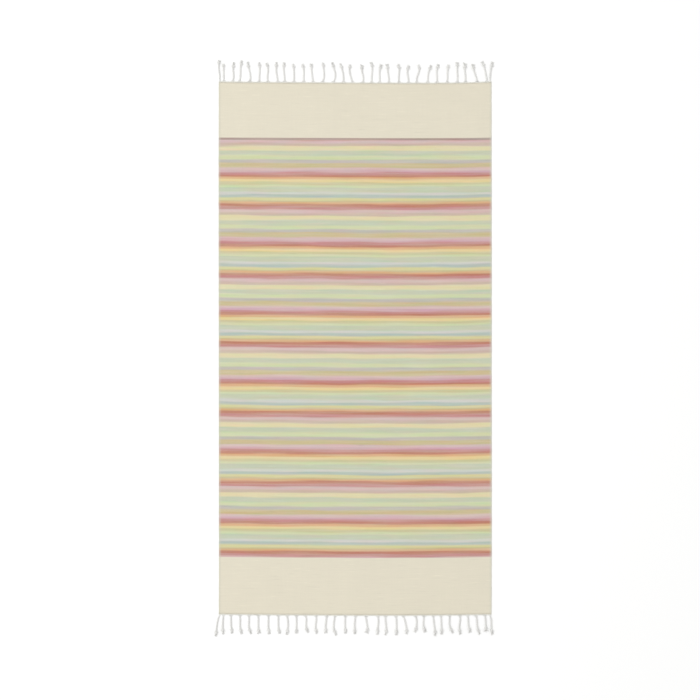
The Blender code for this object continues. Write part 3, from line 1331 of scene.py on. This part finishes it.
@dataclass
class ClothPanel:
    """The woven cloth, from the last pick at one end to the last at the other.

    Attributes:
        width: Across, in metres.
        length: Along, in metres.
        thickness: In metres.
        edge_swell: How much thicker the doubled warp makes each selvage, in metres.
        swell_width: How far in from a selvage it does so, in metres.
        edge_round: How far in a selvage's rounding reaches, in metres.
        lift: The most that the cloth stands off what it lies on, in metres.
        head_level: How far the head end's middle stands towards the head, in millimetres.
        foot_level: How far the foot end's middle does, in millimetres.
        end_share: Over which share of the half length the picks come to those levels.
        edge_columns: How far in the grid's closer columns stand, in millimetres.
        column_step: The grid's step across, in metres.
        row_step: The grid's step along, in metres.
    """

    width: float = CLOTH_WIDTH
    length: float = CLOTH_LENGTH
    thickness: float = 1.3 * MM
    edge_swell: float = 0.45 * MM
    swell_width: float = 3.2 * MM
    edge_round: float = 0.75 * MM
    lift: float = 1.1 * MM
    head_level: float = -0.9
    foot_level: float = -2.9
    end_share: float = 0.1
    edge_columns: tuple[float, ...] = (0.0, 0.12, 0.35, 0.75, 1.4, 2.6, 4.5)
    column_step: float = 6.4 * MM
    row_step: float = 6.2 * MM

    def columns(self) -> np.ndarray:
        """Places across the cloth, from selvage to selvage, closer together at the edges.

        Returns:
            Rising places in metres.
        """
        half = self.width / 2
        edge = np.array(self.edge_columns) * MM
        inner = half - edge[-1] - self.column_step
        count = int(round(2 * inner / self.column_step)) + 1
        middle = np.linspace(-inner, inner, count)
        return np.concatenate((-half + edge, middle, (half - edge)[::-1]))

    def bow(self, across: np.ndarray, along: np.ndarray) -> np.ndarray:
        """How far each pick lies towards the head from where a straight one would.

        The two ends' own lines are mixed by the place along the cloth. What differs from
        the middle of the line is scaled by the share of the bow that the picks keep there,
        and the drift of the beat is added.

        Args:
            across: Places across, in metres.
            along: Places along, in metres.

        Returns:
            The shift along Y, in metres.
        """
        head = smooth_run(across / MM, column(HEAD_LINE, "across"), column(HEAD_LINE, "out"))
        foot = -smooth_run(across / MM, column(FOOT_LINE, "across"), column(FOOT_LINE, "out"))
        share = along / self.length + 0.5
        line = head * share + foot * (1.0 - share)
        level = self.head_level * share + self.foot_level * (1.0 - share)
        kept = smooth_run(along / MM, column(BEAT, "along"), column(BEAT, "bow"))
        drift = smooth_run(along / MM, column(BEAT, "along"), column(BEAT, "drift"))
        near_end = smooth_step(
            (np.abs(along) / (self.length / 2) - (1.0 - self.end_share)) / self.end_share
        )
        return (level * near_end + (line - level) * kept + drift) * MM

    def draw_in(self, along: np.ndarray) -> tuple[np.ndarray, np.ndarray]:
        """How far the left and the right selvage stand out at places along the cloth.

        The table's slow run has short waves on it, where the weft pulled unevenly.

        Args:
            along: Places along, in metres.

        Returns:
            The left selvage's and the right one's, in metres.
        """
        stations = column(SELVAGES, "along")
        sides = []
        for name, phase in (("left_out", 0.4), ("right_out", 2.1)):
            out = smooth_run(along / MM, stations, column(SELVAGES, name)) * MM
            for wave in SELVAGE_PULL:
                out = out + wave.at(along, phase)
            sides.append(out)
        return sides[0], sides[1]

    def relief(self, across: np.ndarray, along: np.ndarray) -> np.ndarray:
        """How far the cloth stands off what it lies on.

        Three crossing waves of long and unlike lengths are added, and a shorter one that
        only the selvages have. The sum is scaled by the most that it can be, to run from 0
        to the lift.

        Args:
            across: Places across, in metres.
            along: Places along, in metres.

        Returns:
            The lift, in metres.
        """
        slow = np.sin(math.tau * (along / 0.41 + 0.9 * across)) * np.sin(math.tau * across / 0.53 + 0.7)
        cross = 0.6 * np.sin(math.tau * (along / 0.23 - across / 0.37) + 1.9)
        short = 0.35 * np.sin(math.tau * (along / 0.131 + across / 0.29) + 0.3)
        rim = np.exp(-(((self.width / 2 - np.abs(across)) / 0.035) ** 2))
        ripple = 0.8 * rim * np.sin(math.tau * along / 0.112 + 2.4 * np.sign(across))
        most = 1.0 + 0.6 + 0.35 + 0.8
        return self.lift * (slow + cross + short + ripple + most) / (2.0 * most)

    def surface(self) -> Shell:
        """Works out the closed sheet.

        A row runs from the left selvage over the top to the right one and back underneath.
        Half the thickness at a place is the square root of what a round edge leaves there,
        and grows by the selvage's swell. Rows are joined one after another, and the first
        and last are closed between their top and underside.

        Returns:
            The sheet in arrays, with its place in the weave as its map.
        """
        across = self.columns()
        count = int(round(self.length / self.row_step)) + 1
        along = np.linspace(-self.length / 2, self.length / 2, count)
        u, v = np.meshgrid(across, along)
        left, right = self.draw_in(v)
        edge_share = u / (self.width / 2)
        x = u + np.where(u < 0, -left * edge_share**2, right * edge_share**2)
        y = v + self.bow(u, v)
        inset = self.width / 2 - np.abs(u)
        full = self.thickness + self.edge_swell * np.exp(-((inset / self.swell_width) ** 2))
        rounding = np.sqrt(1.0 - (1.0 - np.clip(inset / self.edge_round, 0.0, 1.0)) ** 2)
        half = 0.5 * full * rounding
        middle = 0.5 * full + self.relief(u, v)
        top = np.stack((x, y, middle + half), axis=-1)
        under = np.stack((x, y, middle - half), axis=-1)
        ring = np.concatenate((top, under[:, -2:0:-1]), axis=1)
        flat = np.stack((u, v), axis=-1)
        flat_map = np.concatenate((flat, flat[:, -2:0:-1]), axis=1).reshape(-1, 2)

        rows, around = ring.shape[:2]
        index = np.arange(rows * around).reshape(rows, around)
        after = np.roll(index, -1, axis=1)
        walls = np.stack((index[:-1], index[1:], after[1:], after[:-1]), axis=-1).reshape(-1, 4)
        last = len(across) - 1
        upper = np.arange(1, last)
        lower = around - upper
        foot, head = index[0], index[-1]
        foot_end = (foot[upper[:-1]], foot[upper[1:]], foot[lower[1:]], foot[lower[:-1]])
        head_end = (head[upper[1:]], head[upper[:-1]], head[lower[:-1]], head[lower[1:]])
        tips = np.array(
            (
                (foot[0], foot[1], foot[-1]),
                (foot[last], foot[last + 1], foot[last - 1]),
                (head[0], head[-1], head[1]),
                (head[last], head[last - 1], head[last + 1]),
            )
        )
        quads = np.concatenate((walls, np.stack(foot_end, axis=-1), np.stack(head_end, axis=-1)))
        corners = np.concatenate((quads.ravel(), tips.ravel()))
        return Shell(
            points=ring.reshape(-1, 3),
            corners=corners,
            face_sizes=np.repeat((4, 3), (len(quads), len(tips))),
            map_name=WEAVE_MAP,
            corner_map=flat_map[corners],
            tone=np.full(rows * around, 0.5),
        )

    def build(self, finish: StripedCotton, effects: CottonEffects) -> bpy.types.Object:
        """Builds and dresses the cloth.

        Args:
            finish: What it is woven from.
            effects: The shared shader effects.

        Returns:
            The piece.
        """
        piece = self.surface().to_object("woven_cloth", finish.material(effects))
        register(piece, "cloth")
        return piece


# How many rings each yarn of a fringe has. The twined cord's are counted by its lay.
TWINE_RINGS = 11
ROOT_RINGS = 11
CORD_RINGS = 48
KNOT_RINGS = 62
BRUSH_RINGS = 8


@dataclass
class Fringe:
    """One end's bound edge and tassels.

    Attributes:
        end: Which end it is.
        line: The line of the cloth's end.
        tassels: One row for each tassel.
        seed: Where this fringe's own chances start.
        half_length: Half the cloth's length, in metres.
        half_width: Half the cloth's width, in metres.
        edge_out: From the cloth's end to where the tassels' lengths are counted, in metres.
        twine_out: From the cloth's end to the middle of the cord that binds it, in metres.
        twine_radius: Of one strand of that cord, in metres.
        twine_wide: How far its strands stand off its middle where they lie level, in metres.
        twine_tall: How far they do where they lie one on the other, in metres.
        twine_lay: The length in which a strand goes once round it, in metres.
        root_yarns: How many yarns each tassel gathers.
        root_reach: The furthest that they come from on either side, in metres.
        root_gather: How far off the tassel's middle the outer ones end, in metres.
        root_radius: Of a gathered yarn where it starts, in metres.
        throat: How far out the gathered yarns have closed into a cord, in metres.
        ply_radius: Of one ply of a cord, in metres.
        ply_offset: From the cord's middle to the middle of a ply, in metres.
        cord_lay: The length in which a ply goes once round its cord, in metres.
        cord_start: How far out a cord starts, inside its roots, in metres.
        knot_radius: From the cord's middle to the outside of its knot, in metres.
        knot_half: Half a knot's length, in metres.
        knot_ply: The radius of a ply where it is drawn tight in a knot, in metres.
        knot_offset: From the tight cord's middle to the middle of a ply, in metres.
        knot_lay: The length in which a ply goes once round the tight cord, in metres.
        brush_strands: How many strands a brush has.
        brush_root: How far off the knot's middle they leave it, in metres.
        brush_power: Of the share of the way out, by which a brush opens.
        edge_level: How high the middle of a tassel lies at the cloth's end, in metres.
        knot_level: How much of its radius the middle of a knot stands at.
        tip_sink: How far the middle of a brush sinks by its tip, in metres.
    """

    end: End
    line: tuple[EndStation, ...]
    tassels: tuple[Tassel, ...]
    seed: int
    half_length: float = CLOTH_LENGTH / 2
    half_width: float = CLOTH_WIDTH / 2
    edge_out: float = 4.3 * MM
    twine_out: float = 1.8 * MM
    twine_radius: float = 0.92 * MM
    twine_wide: float = 1.05 * MM
    twine_tall: float = 0.5 * MM
    twine_lay: float = 5.2 * MM
    root_yarns: int = 16
    root_reach: float = 9.0 * MM
    root_gather: float = 1.9 * MM
    root_radius: float = 0.42 * MM
    throat: float = 6.0 * MM
    ply_radius: float = 1.5 * MM
    ply_offset: float = 1.4 * MM
    cord_lay: float = 13.0 * MM
    cord_start: float = 2.5 * MM
    knot_radius: float = 5.4 * MM
    knot_half: float = 4.5 * MM
    knot_ply: float = 1.22 * MM
    knot_offset: float = 1.08 * MM
    knot_lay: float = 9.5 * MM
    brush_strands: int = 30
    brush_root: float = 2.5 * MM
    brush_power: float = 1.6
    edge_level: float = 1.1 * MM
    knot_level: float = 0.93
    tip_sink: float = 0.9 * MM

    def __post_init__(self) -> None:
        """Reads the tassels' table into arrays in metres and starts the fringe's chances."""
        self.name = self.end.name.lower()
        self.across = column(self.tassels, "across") * MM
        self.knot_out = column(self.tassels, "knot_out") * MM
        self.reach = column(self.tassels, "reach") * MM
        self.brush = column(self.tassels, "brush") * MM
        self.sways = [np.zeros(len(self.tassels))]
        self.sways += [column(self.tassels, name) * MM for name in ("mid_sway", "knot_sway", "tip_sway")]
        self.chance = np.random.default_rng(self.seed)

    def edge_y(self, across: np.ndarray) -> np.ndarray:
        """Where the cloth's end runs.

        Args:
            across: Places across, in metres.

        Returns:
            Places along Y, in metres.
        """
        out = smooth_run(across / MM, column(self.line, "across"), column(self.line, "out")) * MM
        return self.end.value * (self.half_length + out)

    def sway(self, out: np.ndarray) -> np.ndarray:
        """How far each tassel has swayed at distances out from its root.

        It is the one cubic through the tassel's sway at its root, half way to its knot, at
        its knot and at its tip.

        Args:
            out: Distances by tassel and station, in metres.

        Returns:
            The sway, in metres.
        """
        places = [np.zeros_like(self.reach), self.knot_out / 2, self.knot_out, self.reach]
        total = np.zeros_like(out)
        for i, value in enumerate(self.sways):
            share = np.ones_like(out)
            for j, other in enumerate(places):
                if j != i:
                    share = share * (out - other[:, None]) / (places[i] - other)[:, None]
            total = total + value[:, None] * share
        return total

    def height(self, out: np.ndarray) -> np.ndarray:
        """How high the middle of each tassel lies at distances out.

        It rises from the cloth's edge to the cord's radius, stands at most of the knot's
        radius about the knot, and sinks towards the brush's tip.

        Args:
            out: Distances by tassel and station, in metres.

        Returns:
            Heights, in metres.
        """
        cord = self.ply_radius + self.ply_offset
        risen = self.edge_level + (cord - self.edge_level) * smooth_step(out / self.throat)
        from_knot = np.abs(out - self.knot_out[:, None])
        near = 1.0 - smooth_step((from_knot - 0.6 * self.knot_half) / (2.2 * self.knot_half))
        past = (out - self.knot_out[:, None]) / (self.reach - self.knot_out)[:, None]
        sunk = self.tip_sink * smooth_step(past)
        return risen + (self.knot_level * self.knot_radius - cord) * near - sunk * (1.0 - near)

    def spine(self, out: np.ndarray) -> np.ndarray:
        """The middle of each tassel at distances out.

        Args:
            out: Distances by tassel and station, in metres.

        Returns:
            Points by tassel and station.
        """
        x = self.across[:, None] + self.sway(out)
        base = self.edge_y(self.across) + self.end.value * self.edge_out
        y = base[:, None] + self.end.value * out
        return np.stack((x, y, self.height(out)), axis=-1)

    def frame_at(self, out: np.ndarray) -> tuple[np.ndarray, np.ndarray, np.ndarray]:
        """The middle of each tassel and the two directions square to its run.

        The run is read a fifth of a millimetre to either side.

        Args:
            out: Distances by tassel and station, in metres.

        Returns:
            The points, the level direction and the upward one.
        """
        step = 0.2 * MM
        run = unit(self.spine(out + step) - self.spine(out - step))
        level = unit(np.cross(run, UP))
        return self.spine(out), level, np.cross(level, run)

    def twining(self) -> Yarns:
        """The twined cord that binds the last pick.

        Two strands wind about a line along the cloth's end, half a turn apart: each is off
        the line by the strands' offset, turned by its place along the line over the lay.
        The offset is less in height than across, as the cord is drawn flat.

        Returns:
            The two strands.
        """
        rings = int(round(2 * self.half_width / self.twine_lay * TWINE_RINGS))
        across = np.linspace(-self.half_width + 0.4 * MM, self.half_width - 0.4 * MM, rings)
        wander = sum(wave.at(across, self.seed) for wave in TWINE_WANDER)
        y = self.edge_y(across) + self.end.value * self.twine_out + wander
        level = np.full_like(across, self.twine_radius + self.twine_tall + 0.05 * MM)
        line = np.stack((across, y, level), axis=-1)
        run = unit(np.gradient(line, axis=0))
        side = unit(np.cross(run, UP))
        above = np.cross(side, run)
        turn = math.tau * across / self.twine_lay + TWO_PLIES[:, None]
        spoke = turned(turn, side, above)
        centres = line + turned(turn, self.twine_wide * side, self.twine_tall * above)
        return Yarns(centres, self.twine_radius, spoke, sides=7, tones=np.array([0.35, 0.65]))

    def roots(self) -> Yarns:
        """The warp ends that each tassel gathers from its stretch of the cloth's end.

        A yarn starts inside the bound edge, at its own place along the stretch, and eases
        sideways to its place in the cord. Its distance out grows by a mix of the share of
        the way and its square, so it turns outwards as it nears the cord.

        Returns:
            All the gathered yarns.
        """
        between = np.diff(self.across) / 2
        left = np.concatenate(([self.across[0] + self.half_width], between))
        right = np.concatenate((between, [self.half_width - self.across[-1]]))
        share = (np.arange(self.root_yarns) + 0.5) / self.root_yarns
        start = -left[:, None] + (left + right)[:, None] * share
        start = start + self.chance.uniform(-0.4, 0.4, start.shape) * MM
        start = np.clip(start, -self.root_reach, self.root_reach)
        finish = self.root_gather * start / np.abs(start).max(axis=1, keepdims=True)
        t = np.linspace(0.0, 1.0, ROOT_RINGS)
        inward = smooth_step(t**0.9)
        lateral = start[..., None] + (finish - start)[..., None] * inward
        rise = (self.throat + self.chance.uniform(-1.0, 1.5, start.shape) * MM)[..., None]
        inside = 0.6 * self.edge_out
        out = (rise + inside) * (0.55 * t + 0.45 * t**2) - inside
        flat_out = out.reshape(len(self.tassels), -1)
        spine = self.spine(flat_out).reshape(*out.shape, 3)
        layer = self.chance.uniform(0.25, 0.9, start.shape)[..., None] * MM
        gathered = (1.6 + self.chance.uniform(-1.0, 1.0, start.shape)[..., None]) * MM
        depth = layer * (1.0 - t) + gathered * t
        y_edge = self.edge_y(self.across[:, None, None] + lateral)
        pull = spine[..., 1] - self.edge_y(self.across)[:, None, None]
        points = np.stack((spine[..., 0] + lateral, y_edge + pull, depth + 0.2 * MM), axis=-1)
        radius = self.root_radius + 0.1 * MM * t
        return Yarns(points, radius, UP, sides=6, tones=self.chance.random(start.size))

    def cords(self) -> Yarns:
        """The cord of each tassel, from its gathered roots to inside its knot.

        Two plies wind about the tassel's middle, half a turn apart: each is off it by the
        ply's offset, turned by the distance out over the lay. Both grow from thin at the
        root, and are a little uneven beyond.

        Returns:
            Two plies for each tassel.
        """
        share = np.linspace(0.0, 1.0, CORD_RINGS)
        out = self.cord_start + (self.knot_out[:, None] - self.cord_start) * share
        middle, level, up = self.frame_at(out)
        grown = 0.45 + 0.55 * smooth_step((out - self.cord_start) / (self.throat + 2 * MM))
        uneven = 1.0 + 0.05 * np.sin(math.tau * out / 0.017 + self.chance.uniform(0, math.tau, (len(out), 1)))
        phase = self.chance.uniform(0.0, math.tau, (len(out), 1))
        lay = self.cord_lay * self.chance.uniform(0.88, 1.15, (len(out), 1))
        turn = self.end.value * math.tau * out / lay + phase
        spoke = turned(turn[:, None] + TWO_PLIES[:, None], level[:, None], up[:, None])
        offset = (self.ply_offset * grown * uneven)[:, None, :, None]
        centres = middle[:, None] + offset * spoke
        radius = (self.ply_radius * grown * uneven)[:, None]
        return Yarns(centres, radius, spoke, sides=9, tones=self.chance.random(2 * len(out)))

    def knots(self) -> Yarns:
        """The knot of each tassel, the cord wound about itself.

        The cord goes round the tassel's middle about twice, from one end of the knot to
        the other, and its two plies wind about each other as they go: a helix whose own
        middle is on a wider helix.

        Returns:
            Two plies for each knot.
        """
        count = len(self.tassels)
        share = np.linspace(0.0, 1.0, KNOT_RINGS)
        cord = self.knot_ply + self.knot_offset
        wrap = self.knot_radius - cord
        squash = self.chance.uniform(0.92, 1.06, (count, 1))
        turns = self.chance.uniform(1.75, 2.15, (count, 1))
        phase = self.chance.uniform(0.0, math.tau, (count, 1))
        hand = self.chance.choice([-1.0, 1.0], (count, 1))
        wound = hand * math.tau * turns * share + phase
        out = self.knot_out[:, None] + (self.knot_half - cord) * (2.0 * share - 1.0)
        middle, level, up = self.frame_at(out)
        ends = smooth_step(share / 0.12) * smooth_step((1.0 - share) / 0.12)
        radius = wrap * squash * (0.35 + 0.65 * ends)
        outward = turned(wound, level, up)
        centre = middle + radius[..., None] * outward
        run = unit(np.gradient(centre, axis=1))
        beside = unit(np.cross(run, outward))
        length = np.cumsum(np.linalg.norm(np.gradient(centre, axis=1), axis=-1), axis=1)
        ply_turn = (math.tau * length / self.knot_lay)[:, None] + TWO_PLIES[:, None]
        spoke = turned(ply_turn, outward[:, None], beside[:, None])
        centres = centre[:, None] + self.knot_offset * spoke
        centres[..., 2] = np.maximum(centres[..., 2], self.knot_ply + CLEARANCE)
        return Yarns(centres, self.knot_ply, spoke, sides=8, tones=self.chance.random(2 * count))

    def brushes(self) -> Yarns:
        """The cut yarns that open out beyond each knot.

        A strand leaves the knot inside the cord's section and ends at its own place across
        the open brush: the two are mixed by a power of the share of the way out. It has a
        slight wave of its own, and sinks a little as it goes.

        Returns:
            All the strands.
        """
        share = np.linspace(0.0, 1.0, BRUSH_RINGS)
        shape = (len(self.tassels), self.brush_strands)
        angle = self.chance.uniform(0.0, math.tau, shape)
        spread = np.sqrt(self.chance.random(shape)) * self.brush_root
        near_side, near_up = spread * np.cos(angle), spread * np.sin(angle)
        far_side = self.brush[:, None] / 2 * self.chance.uniform(-1.0, 1.0, shape)
        begin = self.knot_out + 0.35 * self.knot_half
        reach = self.reach[:, None] + self.chance.uniform(-2.6, 0.9, shape) * MM
        out = begin[:, None, None] + (reach - begin[:, None])[..., None] * share
        flat = out.reshape(len(out), -1)
        middle, level, up = (part.reshape(*out.shape, 3) for part in self.frame_at(flat))
        opened = share**self.brush_power
        wave = self.chance.uniform(0.1, 0.5, shape)[..., None] * MM * opened
        wave = wave * np.sin(math.tau * 1.1 * share + self.chance.uniform(0.0, math.tau, shape)[..., None])
        side = near_side[..., None] * (1.0 - opened) + far_side[..., None] * opened + wave
        rise = near_up[..., None] * (1.0 - 0.35 * opened)
        points = middle + side[..., None] * level + rise[..., None] * up
        radius = self.chance.uniform(0.32, 0.46, shape)[..., None] * MM * (1.0 - 0.25 * share)
        points[..., 2] = np.maximum(points[..., 2], radius + CLEARANCE)
        return Yarns(points, radius, UP, sides=5, tones=self.chance.random(angle.size))

    def build(self, finishes: dict[Spun, bpy.types.Material]) -> list[bpy.types.Object]:
        """Builds and dresses every piece of the fringe.

        Args:
            finishes: The materials by the kind of yarn.

        Returns:
            The pieces.
        """
        made = []
        for part, yarns, finish in (
            ("twining", self.twining(), Spun.EDGE),
            ("roots", self.roots(), Spun.SINGLE),
            ("cords", self.cords(), Spun.PLY),
            ("knots", self.knots(), Spun.PLY),
            ("brushes", self.brushes(), Spun.SINGLE),
        ):
            piece = yarns.shell().to_object(f"{self.name}_{part}", finishes[finish])
            register(piece, f"fringe_{self.name}")
            made.append(piece)
        return made


@dataclass
class Studio:
    """The floor, the light and the camera.

    Attributes:
        span: What the picture takes in at the floor, in metres.
        centre: Where the camera looks straight down, across and along, in metres.
        lens: The camera's lens, in millimetres.
        sensor: The camera's sensor, in millimetres.
        sky: How strong the light from all round is.
        lamp_power: The lamp's power, in watts.
        lamp_size: How wide the lamp is, in metres.
        lamp_place: Where the lamp hangs, in metres.
        floor_half: Half the floor's width, in metres.
        floor_tone: The floor's colour, with an alpha of 1.
    """

    span: float = 2.311
    centre: tuple[float, float] = (-16.8 * MM, -4.9 * MM)
    lens: float = 100.0
    sensor: float = 36.0
    sky: float = 0.80
    lamp_power: float = 270.0
    lamp_size: float = 4.0
    lamp_place: tuple[float, float, float] = (-4.6, 1.2, 7.4)
    floor_half: float = 40.0
    floor_tone: tuple[float, float, float, float] = (0.97, 0.97, 0.965, 1.0)

    def floor(self) -> None:
        """Lays a plain pale floor that runs out of every view."""
        mesh = bpy.data.meshes.new("floor")
        half = self.floor_half
        square = [(-half, -half, 0.0), (half, -half, 0.0), (half, half, 0.0), (-half, half, 0.0)]
        mesh.from_pydata(square, [], [(0, 1, 2, 3)])
        material = bpy.data.materials.new("pale_floor")
        material.use_nodes = True
        shader = material.node_tree.nodes["Principled BSDF"]
        shader.inputs["Base Color"].default_value = self.floor_tone
        shader.inputs["Roughness"].default_value = 1.0
        shader.inputs["Specular IOR Level"].default_value = 0.0
        mesh.materials.append(material)
        ground = bpy.data.objects.new("floor", mesh)
        bpy.context.scene.collection.objects.link(ground)

    def light(self) -> None:
        """Lights the towel from all round, and a little more from above on the left."""
        world = bpy.data.worlds.new("studio")
        world.use_nodes = True
        backdrop = world.node_tree.nodes["Background"]
        backdrop.inputs["Color"].default_value = (1.0, 1.0, 1.0, 1.0)
        backdrop.inputs["Strength"].default_value = self.sky
        bpy.context.scene.world = world
        lamp = bpy.data.lights.new("softbox", "AREA")
        lamp.shape = "DISK"
        lamp.size = self.lamp_size
        lamp.energy = self.lamp_power
        box = bpy.data.objects.new("softbox", lamp)
        box.location = self.lamp_place
        x, y, z = self.lamp_place
        box.rotation_euler = (0.0, -math.atan2(math.hypot(x, y), z), math.atan2(-y, -x))
        box.visible_camera = False
        bpy.context.scene.collection.objects.link(box)

    def camera(self) -> None:
        """Hangs the camera straight above the towel, with the head end at the top."""
        data = bpy.data.cameras.new("camera")
        data.lens = self.lens
        data.sensor_width = self.sensor
        eye = bpy.data.objects.new("camera", data)
        eye.location = (*self.centre, self.span * self.lens / self.sensor)
        bpy.context.scene.collection.objects.link(eye)
        bpy.context.scene.camera = eye
        bpy.context.scene.view_settings.view_transform = "Standard"

    def build(self) -> None:
        """Sets the whole studio up."""
        self.floor()
        self.light()
        self.camera()


def main() -> None:
    logging.basicConfig(level=logging.INFO, format="%(message)s")
    Studio().build()
    effects = CottonEffects()
    # The twined yarn's colour is darker and more olive than the loose yarns': partly its own tint, partly
    # painted shade between its strands.
    twined, loose = (0.84, 0.83, 0.76), (0.86, 0.855, 0.83)
    yarns = (
        FringeYarn(Spun.EDGE, twined, strands=5.0, lay=4.0 * MM, depth=0.12 * MM, drift=0.30),
        FringeYarn(Spun.PLY, loose, strands=7.0, lay=9.0 * MM, depth=0.22 * MM),
        FringeYarn(Spun.SINGLE, loose, strands=3.0, lay=2.2 * MM, depth=0.08 * MM),
    )
    finishes = {yarn.kind: yarn.material(effects) for yarn in yarns}
    cloth = ClothPanel().build(StripedCotton(), effects)
    head = Fringe(End.HEAD, HEAD_LINE, HEAD_TASSELS, seed=11).build(finishes)
    foot = Fringe(End.FOOT, FOOT_LINE, FOOT_TASSELS, seed=23).build(finishes)
    LOG.info("the towel: %d pieces", 1 + len(head) + len(foot))


if __name__ == "__main__":
    main()
